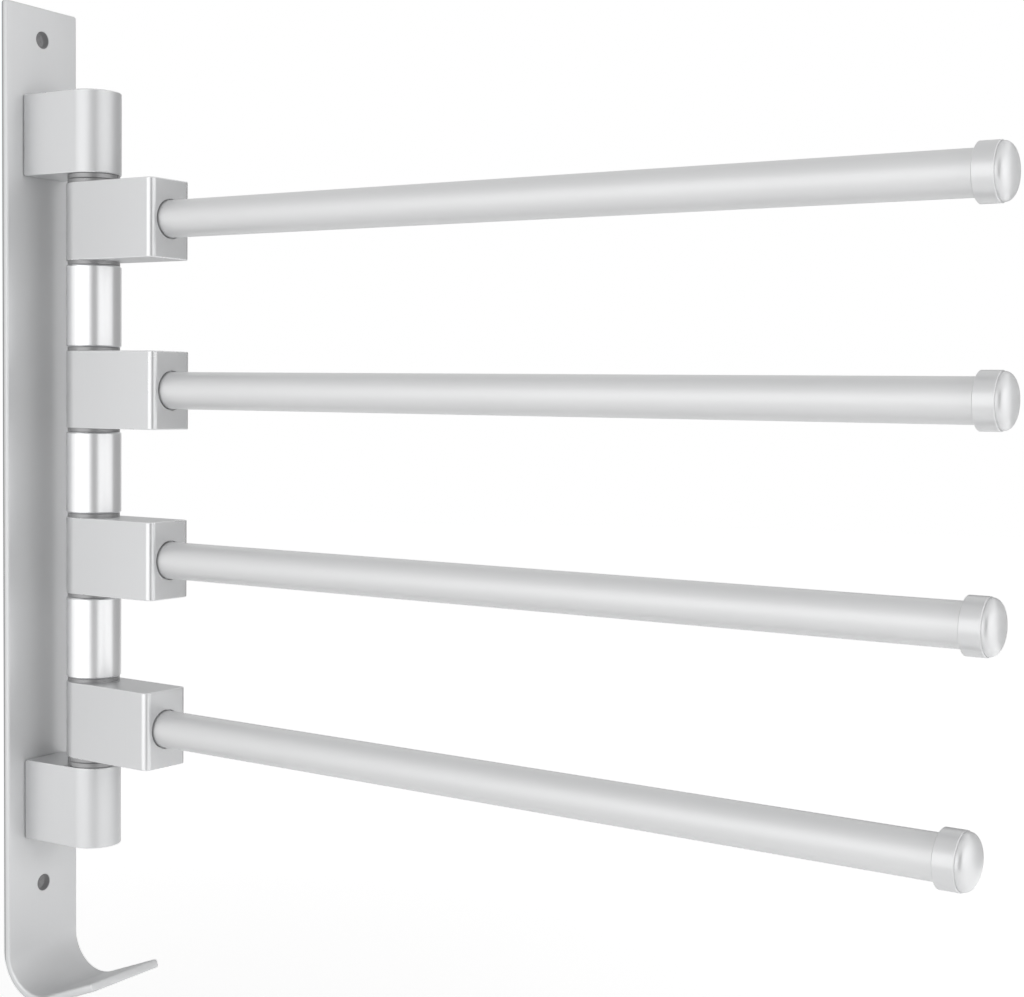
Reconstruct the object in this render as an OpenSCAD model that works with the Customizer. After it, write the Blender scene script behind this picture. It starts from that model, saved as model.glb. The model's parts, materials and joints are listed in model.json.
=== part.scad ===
// Swing arm towel bar: a wall plate with a hook at its foot and four arms on one upright pivot
// Frame: X runs along the wall, the arms stand out towards -Y and +Z is up
// Origin: midway between the two wall holes, on the plate's back face

/* [Back plate] */
// Width of the strip that the plate is cut from
plate_w = 35.4; // [28:0.2:60]
// Thickness of the strip
plate_t = 3.2; // [2.4:0.1:5]
// Rounding along the long edges of the strip
plate_edge_r = 0.6; // [0.3:0.1:1]
// Diameter of each wall hole
wall_hole_d = 6; // [4:0.1:8]
// Width of the bevel round the mouth of a wall hole
wall_hole_bevel = 0.3; // [0.1:0.1:0.6]
// Plate left above the upper wall hole
top_margin = 11.9; // [8:0.1:20]

/* [Hook] */
// Flat strip between the lower wall hole and the start of the bend
hook_drop = 22.8; // [10:0.2:40]
// Radius inside the bend
hook_bend_r = 14; // [8:0.5:20]
// Angle of the lip above level
hook_rise = 21; // [5:1:45]
// Straight length of the lip
hook_lip_len = 24.5; // [10:0.5:60]

/* [Brackets] */
// Width of a bracket, which is also the diameter of its round nose
block_w = 20; // [18:0.5:30]
// Height of a bracket
bracket_h = 30.1; // [26:0.1:40]
// Distance from the top of the upper bracket up to the upper wall hole
hole_above = 21.5; // [12:0.5:40]
// Distance from the foot of the lower bracket down to the lower wall hole
hole_below = 19.3; // [12:0.1:40]
// Distance from the plate's front face to the pivot axis
pivot_out = 26.1; // [20:0.1:45]
// Bevel along the level edges of brackets, knuckles and spacers
edge_bevel = 0.4; // [0.2:0.1:0.8]

/* [Pivot] */
// Diameter of the upright rod
rod_d = 8; // [6:0.5:9]
// Outer diameter of the part of a bush inside its knuckle
bush_d = 12; // [11:0.5:14]
// Length of the part of a bush inside its knuckle
bush_len = 8; // [5:0.5:9]
// Diameter of the bush flanges and of the two washers
flange_d = 19; // [16:0.5:20]
// Thickness of a bush flange
flange_t = 1.5; // [1:0.1:2.5]
// Thickness of the washer between a bracket and its knuckle
washer_t = 1.85; // [1:0.05:3]
// Height of a spacer sleeve between two knuckles
spacer_h = 29.9; // [20:0.1:50]
// End play above and below each turning knuckle
end_play = 0.05; // [0.02:0.01:0.1]
// Gap all round between the rod and a bush
running_gap = 0.05; // [0.02:0.01:0.1]

/* [Knuckles] */
// Height of a knuckle
knuckle_h = 28.3; // [24:0.1:36]
// Distance from the pivot axis to a knuckle's square front
knuckle_reach = 38.5; // [36:0.5:60]
// Radius of the two upright front corners of a knuckle
corner_r = 2.4; // [1:0.1:4]
// Depth of the socket that holds the arm tube
socket_depth = 18; // [12:0.5:20]

/* [Arms] */
// Outer diameter of an arm tube
tube_d = 13.4; // [10:0.1:15]
// Wall of an arm tube
tube_wall = 1; // [0.8:0.1:1.5]
// Distance from the pivot axis to the start of the end cap
cap_start = 332.4; // [150:1:450]
// Length of the plug inside the tube
plug_len = 16; // [12:0.5:24]

/* [End caps] */
// Outer diameter of an end cap
cap_d = 16.9; // [16.9:0.1:19]
// Length of the straight collar of an end cap
cap_collar = 6.3; // [5:0.1:12]
// Radius of the rounded rim of an end cap
cap_round = 3; // [1.5:0.1:4]
// Small step between the collar and the rounded rim
cap_step = 0.25; // [0.1:0.05:0.5]
// Rise of the face's crown above the rounded rim
cap_crown = 0.8; // [0.3:0.1:2]

/* [Fasteners] */
// Shank diameter of the screws that hold the brackets and the tubes
screw_d = 4; // [3:0.5:4]
// Head diameter of those countersunk screws
screw_head_d = 7.6; // [7:0.2:8]
// Height of the cone under a countersunk head
screw_cone = 1.8; // [1.2:0.1:2.2]
// Length of a bracket screw
bracket_screw_len = 14; // [10:0.5:16]
// Distance between the two screws of a bracket
bracket_screw_pitch = 16; // [12:0.5:18]
// Shank diameter of the screws in the rod's ends
rod_screw_d = 4; // [3:0.5:5]
// Head diameter of the screws in the rod's ends
rod_screw_head_d = 11; // [10:0.5:14]
// Head height of the screws in the rod's ends
rod_screw_head_h = 3; // [2:0.5:4]
// Shank length of the screws in the rod's ends
rod_screw_len = 12; // [8:1:16]
// Width across the flats of the hexagon sockets
hex_af = 2.5; // [2:0.5:3]
// Depth of the hexagon sockets
hex_depth = 1.4; // [1:0.1:1.6]

/* [Rest pose] */
// Angle of arm 1, the top arm, from straight out towards -X
arm_1_angle = 1.5; // [-60:0.5:60]
// Angle of arm 2 from straight out towards -X
arm_2_angle = 0.5; // [-60:0.5:60]
// Angle of arm 3 from straight out towards -X
arm_3_angle = 1.5; // [-60:0.5:60]
// Angle of arm 4, the bottom arm, from straight out towards -X
arm_4_angle = 4; // [-60:0.5:60]

/* [Hidden] */
$fn = 64;
// Gap all round a piece that is seated and doesn't turn
seat_gap = 0.02;
// How far a cutting tool runs past the face that it cuts
overrun = 1;
// How far the lip reaches into the bend
lip_overlap = 0.3;
// How much smaller the lip's section is than the strip's, all round
lip_inset = 0.01;
// Bevel at the mouth of a knuckle's socket
mouth_bevel = 0.35;
// Gap between a tube's end and what it points at
tube_end_gap = 0.2;
// How far a tube screw's head lies below the wall of the pivot bore
head_sink = 0.3;
// Metal left between the end of a cap's bore and its face
cap_web = 2.6;
// Length of a tube screw inside its plug
screw_grip = 10;

block_r = block_w / 2;
bush_r = bush_d / 2;
rod_r = rod_d / 2;
tube_r = tube_d / 2;
cap_r = cap_d / 2;
screw_r = screw_d / 2;
screw_head_r = screw_head_d / 2;
rod_screw_r = rod_screw_d / 2;
rod_screw_head_r = rod_screw_head_d / 2;
flange_r = flange_d / 2;
hex_r = hex_af / sqrt(3);

arm_angles = [arm_1_angle, arm_2_angle, arm_3_angle, arm_4_angle];
last_arm = len(arm_angles) - 1;

// The stack on the rod, and the wall holes above and below it
knuckle_pitch = knuckle_h + spacer_h + 2 * (flange_t + end_play);
end_joint = washer_t + end_play + flange_t;
stack_len = 2 * (bracket_h + end_joint) + knuckle_h + last_arm * knuckle_pitch;
wall_hole_pitch = hole_above + stack_len + hole_below;

pivot_y = -(plate_t + pivot_out);
upper_hole_z = wall_hole_pitch / 2;
plate_top_z = upper_hole_z + top_margin;
bend_z = -upper_hole_z - hook_drop;
stack_top_z = upper_hole_z - hole_above;
stack_foot_z = stack_top_z - stack_len;
upper_bracket_z = stack_top_z - bracket_h / 2;
lower_bracket_z = stack_foot_z + bracket_h / 2;
rod_top_z = stack_top_z - rod_screw_head_h;
rod_foot_z = stack_foot_z + rod_screw_head_h;
function knuckle_z(arm) = stack_top_z - bracket_h - end_joint - knuckle_h / 2 - arm * knuckle_pitch;
function spacer_z(gap) = knuckle_z(gap) - knuckle_pitch / 2;

// Places along an arm, measured from the pivot axis
socket_floor = knuckle_reach - socket_depth;
cap_bore_end = cap_start + cap_collar + cap_round + cap_crown - cap_web;
tube_from = socket_floor + tube_end_gap;
tube_to = cap_bore_end - tube_end_gap;
screw_head_at = bush_r + head_sink;
cap_face_r = cap_r - cap_step - cap_round;
crown_r = (cap_face_r * cap_face_r + cap_crown * cap_crown) / (2 * cap_crown);

// Places what follows on the pivot axis, at a height
module on_pivot(z) {
    translate([0, pivot_y, z]) children();
}

// Places what follows in the frame of an arm: the origin on the pivot axis, the arm along -Y
module on_arm(arm) {
    on_pivot(knuckle_z(arm)) rotate([0, 0, -arm_angles[arm]]) children();
}

// A round bar or bore along an arm, from one distance to another
module along_arm(from, to, r) {
    translate([0, -from, 0]) rotate([90, 0, 0]) cylinder(h = to - from, r = r);
}

// Cross-section of a flat bar with bevelled level edges, upright
module bevelled_bar(half_w, h) {
    polygon([
        [-half_w, edge_bevel - h / 2], [edge_bevel - half_w, -h / 2],
        [half_w - edge_bevel, -h / 2], [half_w, edge_bevel - h / 2],
        [half_w, h / 2 - edge_bevel], [half_w - edge_bevel, h / 2],
        [edge_bevel - half_w, h / 2], [-half_w, h / 2 - edge_bevel]
    ]);
}

// Turns what follows upside down where facing is -1
module facing_way(facing) {
    rotate([facing < 0 ? 180 : 0, 0, 0]) children();
}

// A sector of a round post with bevelled level edges
module bevelled_post(r, h, turn = 360) {
    rotate_extrude(angle = turn) intersection() {
        bevelled_bar(r, h);
        translate([0, -h / 2]) square([r, h]);
    }
}

// A straight block of bevelled bar, along -Y from the pivot axis
module bevelled_run(half_w, h, length) {
    rotate([90, 0, 0]) linear_extrude(height = length) bevelled_bar(half_w, h);
}

// The strip's cross-section, smaller by inset all round: width along X, thickness along +Y
module strip_section(inset = 0) {
    side_x = plate_w / 2 - inset;
    round_x = side_x - plate_edge_r;
    front_y = inset + plate_edge_r;
    back_y = plate_t - front_y;
    translate([-side_x, front_y]) square([2 * side_x, back_y - front_y]);
    translate([-round_x, inset]) square([2 * round_x, plate_t - 2 * inset]);
    for (side = [-1, 1], y = [front_y, back_y])
        translate([side * round_x, y]) circle(r = plate_edge_r);
}

// The bend and the lip, swept from the strip's section at the foot of the plate.
// The lip starts a little inside the bend and is a hair thinner, so the two join as one solid.
module hook_sweep() {
    bend_turn = 90 + hook_rise;
    translate([0, -plate_t - hook_bend_r, bend_z]) rotate([-90, 0, 90]) {
        rotate_extrude(angle = bend_turn) translate([hook_bend_r, 0]) rotate([0, 0, -90])
            strip_section();
        rotate([0, 0, bend_turn]) translate([hook_bend_r, -lip_overlap, 0]) rotate([-90, 0, 0])
            linear_extrude(height = lip_overlap + hook_lip_len) rotate([0, 0, -90])
                strip_section(lip_inset);
    }
}

// A countersunk screw along -Y with its head's flat face at y = 0
module countersunk_screw(length) {
    difference() {
        rotate([90, 0, 0]) union() {
            cylinder(h = screw_cone, r1 = screw_head_r, r2 = screw_r);
            translate([0, 0, screw_cone]) cylinder(h = length - screw_cone, r = screw_r);
        }
        translate([0, overrun, 0]) rotate([90, 0, 0])
            cylinder(h = overrun + hex_depth, r = hex_r, $fn = 6);
    }
}

// The room that a countersunk screw needs, along -Y, open behind its head
module countersunk_room(length, behind) {
    room_r = screw_r + seat_gap;
    head_room_r = screw_head_r + seat_gap;
    rotate([90, 0, 0]) {
        translate([0, 0, -behind]) cylinder(h = behind, r = head_room_r);
        cylinder(h = screw_cone, r1 = head_room_r, r2 = room_r);
        cylinder(h = length, r = room_r);
    }
}

module back_plate() {
    color("gainsboro") difference() {
        union() {
            translate([0, -plate_t, bend_z]) linear_extrude(height = plate_top_z - bend_z) strip_section();
            hook_sweep();
        }
        for (z = [-upper_hole_z, upper_hole_z]) translate([0, 0, z]) rotate([90, 0, 0]) {
            translate([0, 0, -overrun]) cylinder(h = plate_t + 2 * overrun, r = wall_hole_d / 2);
            translate([0, 0, plate_t - wall_hole_bevel])
                cylinder(h = 2 * wall_hole_bevel, r1 = wall_hole_d / 2, r2 = wall_hole_d / 2 + 2 * wall_hole_bevel);
        }
        for (z = [upper_bracket_z, lower_bracket_z], side = [-1, 1])
            translate([0, 0, z + side * bracket_screw_pitch / 2])
                countersunk_room(plate_t + overrun, overrun);
    }
}

// A bracket about its own centre height: facing is 1 with the rod's screw on top, -1 below
module bracket(facing) {
    head_room_r = rod_screw_head_r + seat_gap;
    difference() {
        union() {
            rotate([0, 0, 180]) bevelled_post(block_r, bracket_h, 180);
            translate([0, pivot_out, 0]) bevelled_run(block_r, bracket_h, pivot_out);
        }
        translate([0, 0, -bracket_h / 2 - overrun])
            cylinder(h = bracket_h + 2 * overrun, r = rod_r + seat_gap);
        facing_way(facing) translate([0, 0, bracket_h / 2 - rod_screw_head_h])
            cylinder(h = rod_screw_head_h + overrun, r = head_room_r);
        for (side = [-1, 1]) translate([0, pivot_out + plate_t, side * bracket_screw_pitch / 2])
            countersunk_room(bracket_screw_len + overrun, overrun);
    }
}

module top_bracket() {
    color("gainsboro") on_pivot(upper_bracket_z) bracket(1);
}

module bottom_bracket() {
    color("gainsboro") on_pivot(lower_bracket_z) bracket(-1);
}

module bracket_screws() {
    color("slategray") for (z = [upper_bracket_z, lower_bracket_z], side = [-1, 1])
        translate([0, 0, z + side * bracket_screw_pitch / 2]) countersunk_screw(bracket_screw_len);
}

module pivot_rod() {
    tap_r = rod_screw_r + seat_gap;
    tap_depth = rod_screw_len + overrun;
    color("slategray") on_pivot(0) difference() {
        translate([0, 0, rod_foot_z]) cylinder(h = rod_top_z - rod_foot_z, r = rod_r);
        translate([0, 0, rod_top_z - tap_depth]) cylinder(h = tap_depth + overrun, r = tap_r);
        translate([0, 0, rod_foot_z - overrun]) cylinder(h = tap_depth + overrun, r = tap_r);
    }
}

// A flat-headed screw, pointing down, with the underside of its head at z = 0
module rod_end_screw() {
    difference() {
        union() {
            cylinder(h = rod_screw_head_h - edge_bevel, r = rod_screw_head_r);
            translate([0, 0, rod_screw_head_h - edge_bevel])
                cylinder(h = edge_bevel, r1 = rod_screw_head_r, r2 = rod_screw_head_r - edge_bevel);
            translate([0, 0, -rod_screw_len]) cylinder(h = rod_screw_len, r = rod_screw_r);
        }
        translate([0, 0, rod_screw_head_h - hex_depth])
            cylinder(h = hex_depth + overrun, r = hex_r, $fn = 6);
    }
}

module rod_end_screws() {
    color("slategray") {
        on_pivot(rod_top_z) rod_end_screw();
        on_pivot(rod_foot_z) rotate([180, 0, 0]) rod_end_screw();
    }
}

// A flat ring on the rod, from its lower face up
module washer(h) {
    difference() {
        cylinder(h = h, r = flange_r);
        translate([0, 0, -overrun]) cylinder(h = h + 2 * overrun, r = rod_r + seat_gap);
    }
}

module top_washer() {
    color("dimgray") on_pivot(stack_top_z - bracket_h - washer_t) washer(washer_t);
}

module bottom_washer() {
    color("dimgray") on_pivot(stack_foot_z + bracket_h) washer(washer_t);
}

// A bright sleeve round the rod that holds two knuckles apart
module spacer_sleeve(gap) {
    color("white") on_pivot(spacer_z(gap)) difference() {
        bevelled_post(block_r, spacer_h);
        translate([0, 0, -spacer_h / 2 - overrun])
            cylinder(h = spacer_h + 2 * overrun, r = rod_r + seat_gap);
    }
}

// The block that turns on the rod and holds one arm
module knuckle(arm) {
    corner_x = block_r - corner_r;
    corner_y = knuckle_reach - corner_r;
    socket_r = tube_r + seat_gap;
    mouth_r = socket_r + mouth_bevel;
    color("gainsboro") on_arm(arm) difference() {
        union() {
            bevelled_post(block_r, knuckle_h, 180);
            bevelled_run(block_r, knuckle_h, corner_y);
            for (side = [-1, 1]) translate([side * corner_x, -corner_y, 0])
                bevelled_post(corner_r, knuckle_h);
            translate([-corner_x, -corner_y, 0]) rotate([90, 0, 90])
                linear_extrude(height = 2 * corner_x) bevelled_bar(corner_r, knuckle_h);
        }
        translate([0, 0, -knuckle_h / 2 - overrun])
            cylinder(h = knuckle_h + 2 * overrun, r = bush_r + seat_gap);
        along_arm(socket_floor, knuckle_reach + overrun, socket_r);
        translate([0, mouth_bevel - knuckle_reach, 0]) rotate([90, 0, 0])
            cylinder(h = 2 * mouth_bevel, r1 = socket_r, r2 = mouth_r + mouth_bevel);
        translate([0, -screw_head_at, 0]) countersunk_room(knuckle_reach - screw_head_at, screw_head_at);
    }
}

// A flanged bush about the knuckle's centre height: facing is 1 above, -1 below
module bush(arm, facing) {
    color("dimgray") on_arm(arm) facing_way(facing) translate([0, 0, knuckle_h / 2]) difference() {
        union() {
            cylinder(h = flange_t, r = flange_r);
            translate([0, 0, -bush_len]) cylinder(h = bush_len, r = bush_r);
        }
        translate([0, 0, -bush_len - overrun])
            cylinder(h = bush_len + flange_t + 2 * overrun, r = rod_r + running_gap);
    }
}

module arm_tube(arm) {
    color("gainsboro") on_arm(arm) difference() {
        along_arm(tube_from, tube_to, tube_r);
        along_arm(tube_from - overrun, tube_to + overrun, tube_r - tube_wall);
    }
}

// The plug in the tube's inner end, which the tube screw pulls against
module tube_plug(arm) {
    color("dimgray") on_arm(arm) difference() {
        along_arm(tube_from, tube_from + plug_len, tube_r - tube_wall - seat_gap);
        along_arm(tube_from - overrun, tube_from + plug_len + overrun, screw_r + seat_gap);
    }
}

module tube_screw(arm) {
    length = tube_from + screw_grip - screw_head_at;
    color("slategray") on_arm(arm) translate([0, -screw_head_at, 0]) countersunk_screw(length);
}

// Half of a cap's outline, with the radius along X and the cap's length along Y
module cap_section() {
    rim_r = cap_r - cap_step;
    crown_top = cap_collar + cap_round + cap_crown;
    bore_r = tube_r + seat_gap;
    difference() {
        union() {
            square([cap_r, cap_collar]);
            translate([0, cap_collar]) square([cap_face_r, cap_round]);
            intersection() {
                translate([cap_face_r, cap_collar]) circle(r = cap_round);
                translate([0, cap_collar]) square([rim_r, cap_round]);
            }
            intersection() {
                translate([0, crown_top - crown_r]) circle(r = crown_r);
                square([cap_face_r, crown_top]);
            }
        }
        square([bore_r, cap_bore_end - cap_start]);
    }
}

module end_cap(arm) {
    color("white") on_arm(arm) translate([0, -cap_start, 0]) rotate([90, 0, 0])
        rotate_extrude() cap_section();
}

back_plate();
top_bracket();
bottom_bracket();
bracket_screws();
pivot_rod();
rod_end_screws();
top_washer();
bottom_washer();
for (gap = [0 : last_arm - 1])
    spacer_sleeve(gap);
for (arm = [0 : last_arm]) {
    knuckle(arm);
    bush(arm, 1);
    bush(arm, -1);
    arm_tube(arm);
    tube_plug(arm);
    tube_screw(arm);
    end_cap(arm);
}
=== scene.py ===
# %% [markdown]
# A swing arm towel bar in satin aluminium. A bent strip is screwed to the wall, two brackets
# stand out from it and hold an upright rod, and four bars swing on that rod.
#
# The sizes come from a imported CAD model, the frame. This lesson rebuilds each piece that shows as
# a clean mesh with softened edges, gives every surface its finish, and lights the whole as a
# product photograph on white.

# %% Load the frame
import json
import math

import bmesh
import bpy
from mathutils import Matrix, Vector


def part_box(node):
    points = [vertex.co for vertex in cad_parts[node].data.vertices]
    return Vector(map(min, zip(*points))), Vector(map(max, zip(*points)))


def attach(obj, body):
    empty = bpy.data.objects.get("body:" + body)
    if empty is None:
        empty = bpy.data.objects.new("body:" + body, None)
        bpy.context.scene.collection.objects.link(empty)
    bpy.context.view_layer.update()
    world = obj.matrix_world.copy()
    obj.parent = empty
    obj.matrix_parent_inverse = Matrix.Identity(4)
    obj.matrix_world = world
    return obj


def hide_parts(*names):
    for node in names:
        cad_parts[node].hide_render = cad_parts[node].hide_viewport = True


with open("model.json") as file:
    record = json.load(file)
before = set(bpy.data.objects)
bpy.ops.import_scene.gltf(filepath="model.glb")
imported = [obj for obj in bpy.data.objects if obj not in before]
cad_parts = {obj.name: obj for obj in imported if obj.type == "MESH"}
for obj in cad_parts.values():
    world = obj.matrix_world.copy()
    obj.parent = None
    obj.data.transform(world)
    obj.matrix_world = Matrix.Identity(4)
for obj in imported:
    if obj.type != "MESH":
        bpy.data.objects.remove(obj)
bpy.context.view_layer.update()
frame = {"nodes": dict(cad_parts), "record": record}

print("nodes in the frame:", len(frame["nodes"]))

# %% [markdown]
# Everything is in metres, so small details are written as so many millimetres. A size that the
# frame already holds is measured there, and only details that the frame can't give are typed.

# %% Sizes of the wall plate and the blocks
MM = 0.001


def extent(node):
    """The size of a node's box along X, Y and Z."""
    low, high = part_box(node)
    return high - low


def middle(node):
    """The centre of a node's box."""
    low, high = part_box(node)
    return (low + high) / 2


plate_low, plate_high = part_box("back_plate")
bracket_back_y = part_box("top_bracket")[1].y
plate_t = -bracket_back_y
plate_w = plate_high.x - plate_low.x
block_r = extent("spacer_sleeve_1").x / 2
pivot_y = middle("spacer_sleeve_1").y
edge_bevel = 0.4 * MM
print(f"plate {plate_w / MM:.1f} wide and {plate_t / MM:.1f} thick")
print(f"blocks {2 * block_r / MM:.1f} across")

# %% [markdown]
# Each arm has its own rest angle. A joint's range runs from flat against the wall on one side to
# flat against it on the other, so the middle of the range says how far the arm rests from
# straight out.

# %% Where the arms stand
ARMS = (1, 2, 3, 4)
joint_rows = {row["child"]: row for row in frame["record"]["behaviour"]["joints"]}
rest_angle = {}
level = {}
arm_way = {}
arm_place = {}
for arm in ARMS:
    rest_angle[arm] = math.radians(sum(joint_rows[f"arm_{arm}"]["range_deg"]) / 2)
    level[arm] = middle(f"knuckle_{arm}").z
    turn = Matrix.Rotation(-rest_angle[arm], 4, "Z")
    arm_place[arm] = Matrix.Translation((0, pivot_y, level[arm])) @ turn
    arm_way[arm] = turn @ Vector((0, -1, 0))
    rests_at = math.degrees(rest_angle[arm])
    print(f"arm {arm}: level {level[arm] / MM:.1f}, rests at {rests_at:.1f} degrees")


def reach(node, arm):
    """How near and how far a node comes, along its arm, from the pivot axis."""
    start = arm_place[arm].translation
    along = [(corner.co - start).dot(arm_way[arm]) for corner in frame["nodes"][node].data.vertices]
    return min(along), max(along)


# %% [markdown]
# A finish is a small graph of shader nodes. Wrapping a socket in a class with Python's own
# operators lets the maths read as a formula: grain * 0.3 + 0.5 adds its two Math nodes by itself.
# The reflected forms, such as __rsub__, make 1 - mask work as well. Every other node comes from
# one method, which sets the node up first and then fills its sockets.

# %% A socket that does sums
class Flow:
    """A value that flows out of a shader node."""

    def __init__(self, finish, socket):
        self.finish = finish
        self.socket = socket

    def sum_with(self, operation, left, right):
        return self.finish.node("ShaderNodeMath", {"operation": operation}, {0: left, 1: right})

    def __add__(self, other):
        return self.sum_with("ADD", self, other)

    __radd__ = __add__

    def __sub__(self, other):
        return self.sum_with("SUBTRACT", self, other)

    def __rsub__(self, other):
        return self.sum_with("SUBTRACT", other, self)

    def __mul__(self, other):
        return self.sum_with("MULTIPLY", self, other)

    __rmul__ = __mul__


# %% A finish and its nodes
noise_roughness = 0.6


class Finish:
    """A material, or a world, built node by node."""

    def __init__(self, owner):
        self.owner = bpy.data.materials.new(owner) if isinstance(owner, str) else owner
        self.owner.use_nodes = True
        self.tree = self.owner.node_tree
        self.tree.nodes.clear()

    def node(self, kind, settings=None, sockets=None, out=0):
        """Adds a node: its settings first, then values or links into its sockets."""
        made = self.tree.nodes.new(kind)
        for name, value in (settings or {}).items():
            setattr(made, name, value)
        for key, value in (sockets or {}).items():
            if isinstance(value, Flow):
                self.tree.links.new(value.socket, made.inputs[key])
            else:
                made.inputs[key].default_value = value
        return Flow(self, made.outputs[out]) if made.outputs else None

    def pattern(self, stretch, turn=0.0, detail=2.0):
        """Noise on object coordinates: stretch gives the grains per metre along X, Y and Z."""
        place = self.node("ShaderNodeTexCoord", out="Object")
        turned = self.node(
            "ShaderNodeMapping",
            {"vector_type": "POINT"},
            {"Vector": place, "Rotation": (0, 0, turn)},
        )
        stretched = self.node(
            "ShaderNodeVectorMath", {"operation": "MULTIPLY"}, {0: turned, 1: stretch}
        )
        return self.node(
            "ShaderNodeTexNoise",
            {"noise_dimensions": "3D"},
            {"Vector": stretched, "Scale": 1.0, "Detail": detail, "Roughness": noise_roughness},
        )

    def place(self):
        """Object coordinates, as three values in metres."""
        here = self.node("ShaderNodeTexCoord", out="Object")
        split = self.node("ShaderNodeSeparateXYZ", None, {0: here})
        return [Flow(self, out) for out in split.socket.node.outputs]

    def size_of(self, value):
        """A value without its sign."""
        return self.node("ShaderNodeMath", {"operation": "ABSOLUTE"}, {0: value})

    def ramp(self, value, start, end):
        """A mask that climbs from 0 at the start to 1 at the end, and stays there."""
        slope = 1 / (end - start)
        return self.node(
            "ShaderNodeMath",
            {"operation": "MULTIPLY_ADD", "use_clamp": True},
            {0: value, 1: slope, 2: -start * slope},
        )

    def towards(self, colour, share, goal):
        """A colour that goes towards a goal with a share from 0 to 1."""
        start = colour if isinstance(colour, Flow) else (*colour, 1)
        return self.node(
            "ShaderNodeMix",
            {"data_type": "RGBA"},
            {"Factor": share, "A": start, "B": (*goal, 1)},
            out="Result",
        )

    def between(self, share, first, second):
        """A colour that goes from the first to the second with a share from 0 to 1."""
        return self.towards(first, share, second)

    def bumped(self, height, depth):
        """A normal that follows a height pattern, depth metres from low to high."""
        return self.node(
            "ShaderNodeBump", None, {"Height": height, "Distance": depth, "Strength": 1.0}
        )

    def end_in(self, shader):
        """Ends the graph in a shader."""
        self.node("ShaderNodeOutputMaterial", None, {"Surface": shader})
        print("finish", self.owner.name, "with", len(self.tree.nodes), "nodes")
        return self.owner

    def shade(self, **sockets):
        """Ends the graph in a Principled shader, with underscores for spaces in socket names."""
        named = {name.replace("_", " "): value for name, value in sockets.items()}
        return self.end_in(self.node("ShaderNodeBsdfPrincipled", None, named))


# %% [markdown]
# The plate, brackets, blocks and bars are extruded aluminium, bead blasted and anodised. That
# leaves a soft even sheen with a very fine grain, faint lines along the way it was drawn through
# the die, and a tone that drifts a little over a hand's breadth. The drift goes into the colour,
# the grain into roughness and a bump of under a hundredth of a millimetre. Under its anodised skin
# the metal scatters part of the light, so it counts as metal by three quarters and not in full.
#
# Brackets and blocks were blasted before their edges were broken. Those edges are rubbed lighter
# and smoother, and they get a finish of their own.

# %% Satin aluminium
SATIN_TONES = ((0.625, 0.63, 0.637), (0.665, 0.67, 0.677))
satin_sheen = 0.72
drift_size = (14, 14, 14)
grain_size = (2600, 2600, 2600)
line_spacing = 1100
line_stretch = 8
lines_in_tone = 0.3
lines_in_bump = 0.4
roughness_spread = 0.05
grain_depth = 0.004 * MM


def satin_aluminium(name, drawn_along, roughness, tones=SATIN_TONES, turn=0.0, marks=None):
    """Blasted and anodised metal with faint die lines along one axis."""
    finish = Finish(name)
    spread = tuple(line_stretch if axis == drawn_along else line_spacing for axis in "XYZ")
    drift = finish.pattern(drift_size, turn)
    lines = finish.pattern(spread, turn)
    grain = finish.pattern(grain_size, detail=1.0)
    share = drift * (1 - lines_in_tone) + lines * lines_in_tone
    colour = finish.between(share, *tones)
    sheen = satin_sheen
    if marks is not None:
        colour, sheen, roughness = marks(finish, colour, roughness)
    return finish.shade(
        Base_Color=colour,
        Metallic=sheen,
        Roughness=grain * roughness_spread + lines * roughness_spread
        + (roughness - roughness_spread),
        Normal=finish.bumped(grain * (1 - lines_in_bump) + lines * lines_in_bump, grain_depth),
    )


bracket_roughness = 0.40
block_roughness = 0.36
bracket_finish = satin_aluminium("satin_bracket", "Z", bracket_roughness)
block_finish = satin_aluminium("satin_block", "Z", block_roughness)

# %% Rubbed edges
RUBBED_TONES = ((0.69, 0.695, 0.702), (0.75, 0.755, 0.762))
rubbed_sheen = 0.8
rubbed_roughness = 0.24
wear_size = (60, 60, 60)
wear_marks = 0.08


def rubbed_aluminium():
    """The broken edges of brackets and blocks, rubbed unevenly."""
    finish = Finish("rubbed_edge")
    wear = finish.pattern(wear_size)
    return finish.shade(
        Base_Color=finish.between(wear, *RUBBED_TONES),
        Metallic=rubbed_sheen,
        Roughness=wear * wear_marks + rubbed_roughness,
    )


rubbed_finish = rubbed_aluminium()

# %% [markdown]
# The plate is blasted more coarsely, so its flat looks duller than the blocks. Its long edges are
# rubbed smooth and catch the light. Next to the wall they get painted shade, a darker colour, and
# so do the walls of its holes. Each mark is a mask on the place: how far a point is from the middle
# line, from the wall and from a hole's axis.

# %% The plate's rubbed edges, and painted shade by the wall and in its holes
# painted shade: dark colours for the hole walls and for the edges next to the wall
HOLE_WALL_SHADE = (0.19, 0.19, 0.195)
WALL_SIDE_SHADE = (0.30, 0.302, 0.307)
dull_sheen = 0.30
edge_polish = 0.18
plate_roughness = 0.50
edge_band = 0.9 * MM
# how far from the wall the painted shade on the edges reaches
wall_shade_band = 1.5 * MM
hole_band = 0.1 * MM
wall_hole_r = 3 * MM
wall_hole_row = next(row for row in frame["record"]["mounts"] if row["name"] == "wall_holes")
wall_hole_z = wall_hole_row["dims"]["spacing_y_mm"] * MM / 2


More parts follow.
